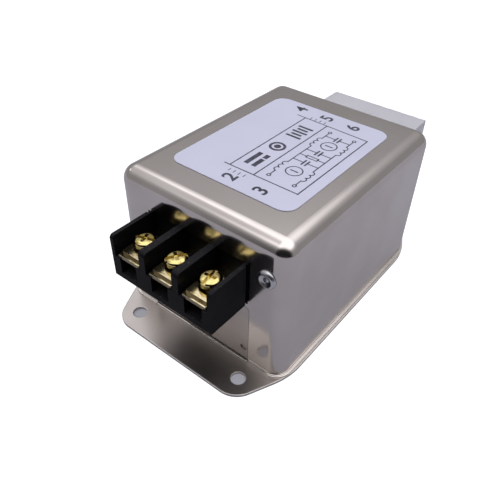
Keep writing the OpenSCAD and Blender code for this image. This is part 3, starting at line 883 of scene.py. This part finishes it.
class Pen:
    """Draws thin raised print on the label's top."""

    def __init__(self, top, width):
        self.bm = bmesh.new()
        self.low = top - 0.01 * MM
        self.thick = 0.022 * MM
        self.width = width

    def stroke(self, start, end, width=None):
        """A straight bar from point to point, in millimetres on the label."""
        width = width or self.width
        a, b = Vector(start) * MM, Vector(end) * MM
        centre = (a + b) / 2
        direction = b - a
        block(
            self.bm,
            (centre.x, centre.y, self.low + self.thick / 2),
            (direction.length + width, width, self.thick),
            math.atan2(direction.y, direction.x),
        )

    def path(self, *points, width=None):
        for start, end in zip(points, points[1:]):
            self.stroke(start, end, width)

    def frame(self, low, high, width=None):
        (x0, y0), (x1, y1) = low, high
        self.path((x0, y0), (x1, y0), (x1, y1), (x0, y1), (x0, y0), width=width)

    def arc(self, centre, radius, start, angle, width=None):
        """Part of a ring: a small upright face, spun about the centre."""
        half = (width or self.width) / 2
        inner, outer = radius * MM - half, radius * MM + half
        corners = ((inner, 0), (outer, 0), (outer, self.thick), (inner, self.thick))
        turn = Matrix.Rotation(math.radians(start), 3, "Z")
        middle = Vector((centre[0] * MM, centre[1] * MM, self.low))
        face = self.bm.faces.new(
            [self.bm.verts.new(middle + turn @ Vector((x, 0, z))) for x, z in corners]
        )
        geom = [face, *face.verts, *face.edges]
        full = abs(angle) >= 360
        bmesh.ops.spin(
            self.bm,
            geom=geom,
            cent=(middle.x, middle.y, 0),
            axis=(0, 0, 1),
            angle=math.radians(angle),
            steps=max(6, int(abs(angle) / 10)),
            use_merge=full,
        )
        if full:
            bmesh.ops.delete(self.bm, geom=[face], context="FACES_ONLY")

    def ring(self, centre, radius, width=None):
        self.arc(centre, radius, 0, 360, width)

    def bumps(self, start, count, radius, side, width=None):
        """A row of half rings along Y, as in a coil's sign."""
        x, y = start
        for i in range(count):
            self.arc((x, y + radius * (2 * i + 1)), radius, -90, 180 * side, width)

    def digit(self, text, centre, size):
        """A plain number, read along Y."""
        bolder = 0.11 * MM
        line_height = 1.4 * size
        curve = bpy.data.curves.new("digit", "FONT")
        curve.body = text
        curve.size = line_height
        curve.align_x = "CENTER"
        curve.align_y = "CENTER"
        curve.extrude = self.thick / 2
        curve.offset = bolder
        thing = in_scene("digit", curve)
        graph = bpy.context.evaluated_depsgraph_get()
        mesh = bpy.data.meshes.new_from_object(thing.evaluated_get(graph))
        place = Matrix.Translation((centre[0] * MM, centre[1] * MM, self.low + self.thick / 2))
        mesh.transform(place @ Matrix.Rotation(math.radians(90), 4, "Z"))
        self.bm.from_mesh(mesh)
        bpy.data.meshes.remove(mesh)
        bpy.data.objects.remove(thing)
        bpy.data.curves.remove(curve)


def draw_diagram(pen, width):
    """A generic two-stage filter diagram between the ruled lines."""
    left, right = 5.2, 12.6
    middle = (left + right) / 2
    for x, side in ((left, -1), (right, 1)):
        pen.path((x, -13.2), (x, -11.0), width=width)
        pen.bumps((x, -11.0), 3, 0.85, side, width)
        pen.path((x, -5.9), (x, 4.6), width=width)
        pen.bumps((x, 4.6), 3, 0.85, side, width)
        pen.path((x, 9.7), (x, 13.2), width=width)
        for y in (-13.7, 13.7):
            pen.ring((x, y), 0.45, width)
    for y in (-8.45, 7.15):
        pen.ring((middle, y), 2.1, width)
        pen.stroke((middle - 0.9, y), (middle + 0.9, y), width * 1.3)
    for y in (-3.6, 2.4, 11.4):
        pen.stroke((left, y), (middle - 0.5, y), width)
        pen.stroke((middle + 0.5, y), (right, y), width)
        for x in (middle - 0.5, middle + 0.5):
            pen.stroke((x, y - 1.1), (x, y + 1.1), width * 1.5)
    pen.path((left, -0.6), (middle - 1.6, -0.6), width=width)
    pen.frame((middle - 1.6, -1.1), (middle + 1.6, -0.1), width)
    pen.path((middle + 1.6, -0.6), (right, -0.6), width=width)


def draw_marks(pen):
    """Plain shapes in the narrow column."""
    x = -1.2
    pen.stroke((x - 1.2, -12.4), (x - 1.2, -7.2), 1.3 * MM)
    pen.stroke((x + 1.1, -12.4), (x + 1.1, -9.6), 1.3 * MM)
    pen.stroke((x + 1.1, -7.8), (x + 1.1, -7.2), 1.3 * MM)
    pen.ring((x, -1.4), 1.9, 0.75 * MM)
    pen.ring((x, -1.4), 0.5, 0.9 * MM)
    for i, reach in enumerate((1.9, 1.2, 1.9, 1.2, 1.9)):
        y = 5.6 + 1.5 * i
        pen.stroke((x - reach, y), (x + reach, y), 0.8 * MM)


class MakeLabelPrint(bpy.types.Operator):
    """Gives the label its film finish and makes its ruled print"""

    bl_idname = "line_filter.make_label_print"
    bl_label = "Label and print"

    def execute(self, context):
        settings = context.scene.filter_label
        film = Finish("label_film", Coat_Weight=0.15, Coat_Roughness=0.25)
        mottle = film.effect("moulded_plastic", Grain_Scale=1700.0, Cloud_Scale=55.0)
        lighter = toned(settings.film, 1.06)
        film.set("Base Color", film.blend(mottle["Dullness"], settings.film, lighter))
        film.roughen(mottle["Dullness"], 0.42, 0.5)
        film.bump(mottle["Height"], 0.004 * MM, strength=0.5)
        finish_node("label", film.material)

        ink = Finish("label_ink", Roughness=0.5)
        uneven = ink.effect("moulded_plastic", Grain_Scale=4200.0, Cloud_Scale=700.0)
        faded = [c * 2.6 + 0.01 for c in settings.ink]
        ink.set("Base Color", ink.blend(uneven["Dullness"], settings.ink, faded))
        ink.set("Roughness", ranged(ink.tree, uneven["Height"], 0.3, 0.7, 0.4, 0.6))

        pen = Pen(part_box("label")[1][2], settings.rule_width)
        pen.path((-6.4, -16.1), (15.2, -16.1), (15.2, 16.0), (-7.4, 16.9))
        pen.path((-4.8, -16.1), (-4.8, 16.7))
        pen.path((2.5, -16.1), (2.5, 16.4))
        draw_marks(pen)
        draw_diagram(pen, settings.line_width)
        for text, centre in (
            ("2", (-1.1, -20.3)),
            ("3", (8.0, -20.3)),
            ("4", (-8.6, 20.6)),
            ("5", (0.2, 20.4)),
            ("6", (8.6, 20.2)),
        ):
            pen.digit(text, centre, settings.digit_size)
        tick_width, tick_half = 0.24 * MM, 0.45
        for y in (-17.9, 17.6):
            for x in (-3.4, -1.9, -0.4, 1.1):
                pen.stroke((x, y - tick_half), (x, y + tick_half), tick_width)
        bmesh.ops.remove_doubles(pen.bm, verts=pen.bm.verts, dist=1e-8)
        bmesh.ops.recalc_face_normals(pen.bm, faces=pen.bm.faces)
        finished(pen.bm, "label_print", ink.material)
        return {"FINISHED"}


class DressInside(bpy.types.Operator):
    """Gives the parts inside the case their finishes"""

    bl_idname = "line_filter.dress_inside"
    bl_label = "Inside parts"

    def execute(self, context):
        liner = woven_finish(
            "liner_film", (0.62, 0.6, 0.5), (0.72, 0.7, 0.6), 0.8 * MM, Roughness=0.45
        )
        board = woven_finish(
            "board_laminate",
            (0.035, 0.17, 0.075),
            (0.05, 0.22, 0.1),
            0.5 * MM,
            Roughness=0.4,
            Coat_Weight=0.2,
        )
        white = plastic_finish("white_moulding", (0.84, 0.83, 0.79), (0.72, 0.7, 0.64), 0.45)
        tinned = soft_metal_finish("tinned_copper", (0.74, 0.73, 0.7), (0.52, 0.5, 0.46), 0.3)
        grey = (0.045, 0.045, 0.05), (0.08, 0.08, 0.08)
        ferrite = plastic_finish("ferrite", *grey, 0.6, grain=5200.0, depth=0.03 * MM)
        copper = soft_metal_finish("winding_copper", (0.62, 0.22, 0.08), (0.42, 0.13, 0.05), 0.22)
        box = plastic_finish("capacitor_box", (0.72, 0.53, 0.1), (0.6, 0.45, 0.1), 0.4)
        blue = (0.08, 0.22, 0.5), (0.12, 0.28, 0.56)
        disc = plastic_finish("capacitor_disc", *blue, 0.25, grain=900.0)
        coat = plastic_finish("resistor_coat", (0.63, 0.5, 0.33), (0.52, 0.4, 0.26), 0.35)
        finishes = {
            "insulating_liner": liner,
            "circuit_board": board,
            "board_spacers": white,
            "earth_strap": tinned,
            "choke_core": ferrite,
            "choke_1_winding": copper,
            "choke_2_winding": copper,
            "x_capacitor": box,
            "y_capacitor": disc,
            "bleed_resistor": coat,
            "line_link_wire": tinned,
            "load_link_wire": tinned,
        }
        for start, material in finishes.items():
            nodes = [name for name in frame["nodes"] if name.startswith(start)]
            if not nodes:
                raise RuntimeError("no node begins with " + start)
            for node in nodes:
                finish_node(node, material)
        return {"FINISHED"}


# ------------------------------------------------------------ stage


def area_light(name, place, target, width, power):
    """A square lamp that faces a target."""
    data = bpy.data.lights.new(name, "AREA")
    data.shape = "SQUARE"
    data.size = width
    data.energy = power
    lamp = in_scene(name, data)
    lamp.location = place
    aim = Vector(target) - Vector(place)
    lamp.rotation_euler = aim.to_track_quat("-Z", "Y").to_euler()


def floor_paper(settings):
    """Matt paper: white where it is seen, grey in mirrorings, and grey with painted shade under
    the mounting holes.
    """
    finish = Finish("floor_paper", Roughness=0.8, Emission_Strength=1.0)
    tree = finish.tree
    grainy = finish.effect("moulded_plastic", Grain_Scale=700.0, Cloud_Scale=3.0)
    darker = toned(settings.floor, 0.97)
    finish.set("Base Color", finish.blend(grainy["Dullness"], settings.floor, darker))
    parts = split(tree, object_place(tree))
    bolts = next(m for m in frame["record"]["mounts"] if m["kind"] == "bolt_pattern")["dims"]
    squares = []
    for axis in ("X", "Y"):
        place = bolts[f"spacing_{axis.lower()}_mm"] / 2 * MM
        offset = subtract(tree, math_node(tree, "ABSOLUTE", parts[axis]), place)
        squares.append(multiply(tree, offset, offset))
    reach = 2 * bolts["hole_r_mm"] * MM
    # discs under the mounting holes lose the white glow: painted shade beneath the plate
    clear_of_hole_shade = math_node(tree, "GREATER_THAN", add(tree, *squares), reach**2)
    path = tree.nodes.new("ShaderNodeLightPath")
    seen = multiply(tree, path.outputs["Is Camera Ray"], clear_of_hole_shade)
    white = (1.0, 1.0, 1.0)
    finish.set("Emission Color", finish.blend(seen, settings.floor_glow, white))
    return finish.material


def toward(tree, here, direction, near, far):
    """A mask that is one along a direction and fades to nothing away from it."""
    same = aligned(tree, here, Vector(direction).normalized())
    faded, full = (math.cos(math.radians(angle)) for angle in (far, near))
    return ranged(tree, same, faded, full, smooth=True)


def studio_light(settings):
    """Soft light that grows up to a wide panel overhead, with a dark room in front."""
    world = bpy.data.worlds.new("studio_light")
    world.use_nodes = True
    tree = world.node_tree
    background = tree.nodes["Background"]
    here = tree.nodes.new("ShaderNodeTexCoord").outputs["Generated"]
    height = split(tree, here)["Z"]
    low_light, high_light = settings.horizon, 2.1 * settings.horizon
    rising = ranged(tree, height, 0.4, 0.75, low_light, high_light)
    panel = ranged(tree, height, 0.58, 0.82, 0.0, settings.panel, smooth=True)
    gap = multiply(tree, toward(tree, here, (-0.62, -0.17, 0.77), near=8, far=22), 0.95)
    in_front = toward(tree, here, (0.42, -0.9, 0.09), near=40, far=64)
    room = multiply(tree, in_front, settings.room)
    open_panel = multiply(tree, panel, subtract(tree, 1.0, gap))
    light = multiply(tree, add(tree, rising, open_panel), subtract(tree, 1.0, room))
    seen = tree.nodes.new("ShaderNodeLightPath").outputs["Is Camera Ray"]
    strength = math_node(tree, "MAXIMUM", light, seen)
    tree.links.new(strength, background.inputs["Strength"])
    background.inputs["Color"].default_value = (0.97, 0.97, 1.0, 1.0)
    return world


class SetStage(bpy.types.Operator):
    """Makes the pale floor, the soft studio light and the camera"""

    bl_idname = "line_filter.set_stage"
    bl_label = "Stage"

    def execute(self, context):
        settings = context.scene.filter_stage
        scene = context.scene
        scene.view_settings.view_transform = "Standard"
        bm = bmesh.new()
        bmesh.ops.create_grid(bm, x_segments=1, y_segments=1, size=settings.floor_size / 2)
        floor = in_scene("floor", as_mesh(bm, "floor"))
        floor.data.materials.append(floor_paper(settings))
        scene.world = studio_light(settings)
        beside, middle = (-0.65, -0.2, 0.45), (0, 0, 0.02)
        area_light("side", beside, middle, width=0.12, power=settings.side)

        data = bpy.data.cameras.new("camera")
        data.sensor_width = 36.0
        data.lens = settings.lens
        data.shift_x = -0.0002
        data.shift_y = -0.0015
        data.clip_start = 0.005
        across = Vector((0.783241, 0.621284, 0.023247))
        down = Vector((0.412986, -0.491965, -0.766429))
        ahead = Vector((-0.464733, 0.609899, -0.641909))
        place = Matrix.Translation((0.068683, -0.103396, 0.110860))
        camera = in_scene("camera", data)
        camera.matrix_world = place @ Matrix((across, -down, -ahead)).transposed().to_4x4()
        scene.camera = camera
        return {"FINISHED"}


class FilterPanel(bpy.types.Panel):
    """Lists the line filter's pieces and their sizes"""

    bl_idname = "VIEW3D_PT_line_filter"
    bl_label = "Line filter"
    bl_space_type = "VIEW_3D"
    bl_region_type = "UI"
    bl_category = "Line filter"

    def draw(self, context):
        for operator, settings in STEPS:
            box = self.layout.box()
            box.operator(operator.bl_idname)
            if settings:
                group = getattr(context.scene, settings)
                for key in group.__annotations__:
                    box.prop(group, key)


STEPS = (
    (DressSheetMetal, "filter_sheet_metal"),
    (MakeHems, None),
    (DressTerminalBlocks, "filter_moulding"),
    (DressTerminals, "filter_brass"),
    (MakeTerminalScrews, "filter_screws"),
    (MakeRivets, "filter_rivets"),
    (DressCover, None),
    (MakeLabelPrint, "filter_label"),
    (DressInside, None),
    (SetStage, "filter_stage"),
)

SETTINGS = {
    "filter_sheet_metal": SheetMetalSettings,
    "filter_moulding": MouldingSettings,
    "filter_brass": BrassSettings,
    "filter_screws": ScrewSettings,
    "filter_rivets": RivetSettings,
    "filter_label": LabelSettings,
    "filter_stage": StageSettings,
}


def register():
    for name, group in SETTINGS.items():
        bpy.utils.register_class(group)
        setattr(bpy.types.Scene, name, PointerProperty(type=group))
    for operator, _ in STEPS:
        bpy.utils.register_class(operator)
    bpy.utils.register_class(FilterPanel)


def unregister():
    bpy.utils.unregister_class(FilterPanel)
    for operator, _ in reversed(STEPS):
        bpy.utils.unregister_class(operator)
    for name, group in reversed(SETTINGS.items()):
        delattr(bpy.types.Scene, name)
        bpy.utils.unregister_class(group)


def main():
    register()
    for operator, _ in STEPS:
        section, name = operator.bl_idname.split(".")
        getattr(getattr(bpy.ops, section), name)()


if __name__ == "__main__":
    main()
